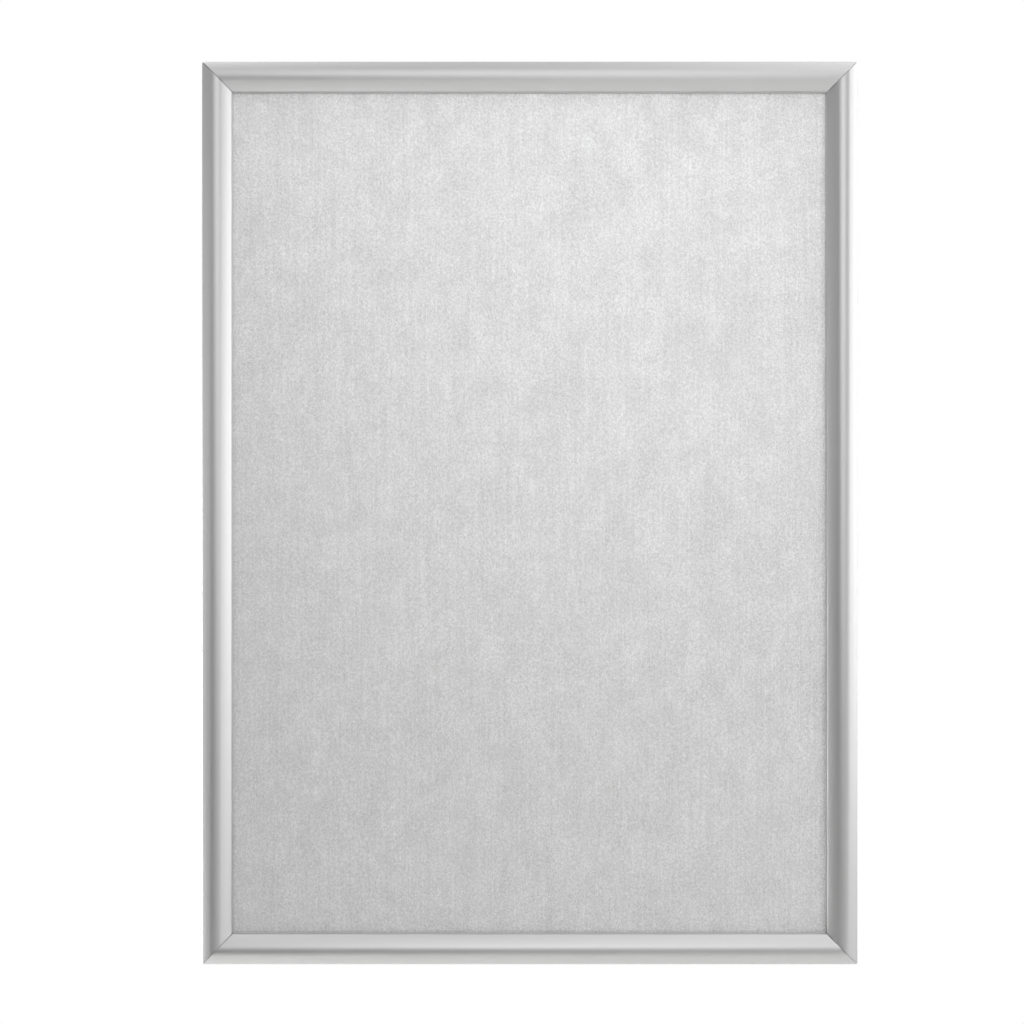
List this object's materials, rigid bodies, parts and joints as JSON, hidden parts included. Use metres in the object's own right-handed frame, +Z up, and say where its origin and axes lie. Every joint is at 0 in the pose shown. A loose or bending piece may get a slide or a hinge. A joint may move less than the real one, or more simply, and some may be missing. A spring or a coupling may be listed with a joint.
{
  "type": "poster frame",
  "caption": "Front-loading wall frame for a poster: mitred rounded rails that snap open on their outer edges, over a sheet-metal back panel and a clear front sheet.",
  "frame": {"origin": "the middle of the frame on the plane of the wall, which the backs of the base rails touch", "axes": "+Z up along the long side, +X to the viewer's right as seen from the front, -Y out of the wall towards the viewer"},
  "size_m": [0.5298, 0.012, 0.7298],
  "materials": {
    "anodised_aluminium": "satin silver anodised",
    "mill_aluminium": "extruded mill finish",
    "galvanised_steel": "hot-dip galvanised sheet, fine spangle",
    "clear_plastic": "clear, anti-glare face",
    "zinc_plated_steel": "bright zinc plate",
    "black_steel": "black oxide",
    "spring_steel": "bright rolled strip"
  },
  "bodies": {
    "frame": {"base_rail_top": "mill_aluminium", "base_rail_bottom": "mill_aluminium", "base_rail_left": "mill_aluminium", "base_rail_right": "mill_aluminium", "corner_key_top_left": "zinc_plated_steel", "corner_key_top_right": "zinc_plated_steel", "corner_key_bottom_right": "zinc_plated_steel", "corner_key_bottom_left": "zinc_plated_steel", "key_screw_top_left_1": "black_steel", "key_screw_top_left_2": "black_steel", "key_screw_top_right_1": "black_steel", "key_screw_top_right_2": "black_steel", "key_screw_bottom_right_1": "black_steel", "key_screw_bottom_right_2": "black_steel", "key_screw_bottom_left_1": "black_steel", "key_screw_bottom_left_2": "black_steel", "leaf_spring_top_1": "spring_steel", "leaf_spring_top_2": "spring_steel", "leaf_spring_bottom_1": "spring_steel", "leaf_spring_bottom_2": "spring_steel", "leaf_spring_left_1": "spring_steel", "leaf_spring_left_2": "spring_steel", "leaf_spring_left_3": "spring_steel", "leaf_spring_right_1": "spring_steel", "leaf_spring_right_2": "spring_steel", "leaf_spring_right_3": "spring_steel", "back_panel": "galvanised_steel", "clear_sheet": "clear_plastic"},
    "top_cover": {"snap_cover_top": "anodised_aluminium"},
    "bottom_cover": {"snap_cover_bottom": "anodised_aluminium"},
    "left_cover": {"snap_cover_left": "anodised_aluminium"},
    "right_cover": {"snap_cover_right": "anodised_aluminium"}
  },
  "joints": [
    {"name": "top_cover_hinge", "type": "hinge", "parent": "frame", "child": "top_cover", "pos_m": [0, -0.00645, 0.36307], "axis": [-1, 0, 0], "range_deg": [0, 100], "deforming": ["leaf_spring_top_1", "leaf_spring_top_2"]},
    {"name": "bottom_cover_hinge", "type": "hinge", "parent": "frame", "child": "bottom_cover", "pos_m": [0, -0.00645, -0.36307], "axis": [1, 0, 0], "range_deg": [0, 100], "deforming": ["leaf_spring_bottom_1", "leaf_spring_bottom_2"]},
    {"name": "left_cover_hinge", "type": "hinge", "parent": "frame", "child": "left_cover", "pos_m": [-0.26307, -0.00645, 0], "axis": [0, 0, -1], "range_deg": [0, 100], "deforming": ["leaf_spring_left_1", "leaf_spring_left_2", "leaf_spring_left_3"]},
    {"name": "right_cover_hinge", "type": "hinge", "parent": "frame", "child": "right_cover", "pos_m": [0.26307, -0.00645, 0], "axis": [0, 0, 1], "range_deg": [0, 100], "deforming": ["leaf_spring_right_1", "leaf_spring_right_2", "leaf_spring_right_3"]}
  ]
}
